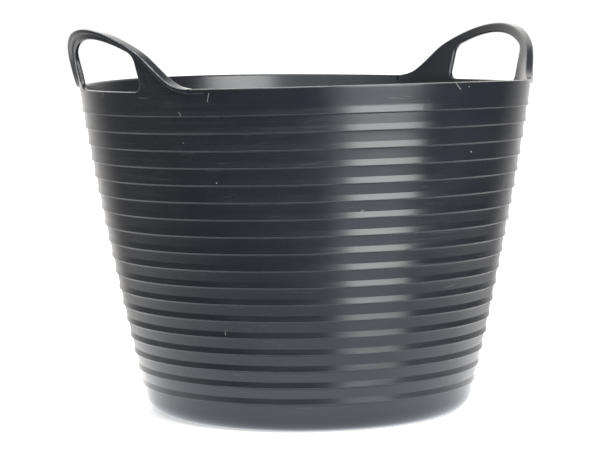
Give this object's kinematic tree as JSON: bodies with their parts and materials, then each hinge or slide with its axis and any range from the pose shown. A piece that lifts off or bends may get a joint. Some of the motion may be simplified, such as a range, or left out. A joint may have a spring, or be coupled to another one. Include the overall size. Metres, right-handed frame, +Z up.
{
  "type": "flexible mixing tub",
  "caption": "Round flexible mixing tub with a ledged, tapering wall and loop handles that bend at the rim, for mixing and carrying mortar.",
  "frame": {"origin": "centre of the flat underside", "axes": "+Z up, X through the two handles, Y across them"},
  "size_m": [0.4864, 0.4498, 0.387],
  "materials": {
    "tub_plastic": "satin, dark blue-grey low-density polyethylene with scuffs"
  },
  "bodies": {
    "tub": {"base_pan": "tub_plastic", "stepped_wall": "tub_plastic", "rim_band": "tub_plastic"},
    "right_loop": {"right_handle": "tub_plastic"},
    "left_loop": {"left_handle": "tub_plastic"}
  },
  "joints": [
    {"name": "right_handle_flex", "type": "hinge", "parent": "tub", "child": "right_loop", "pos_m": [0.2119, 0, 0.344], "axis": [0, -1, 0], "range_deg": [-10, 40], "stiffness_Nm_per_rad": 2},
    {"name": "left_handle_flex", "type": "hinge", "parent": "tub", "child": "left_loop", "pos_m": [-0.2119, 0, 0.344], "axis": [0, 1, 0], "range_deg": [-10, 40], "stiffness_Nm_per_rad": 2}
  ]
}
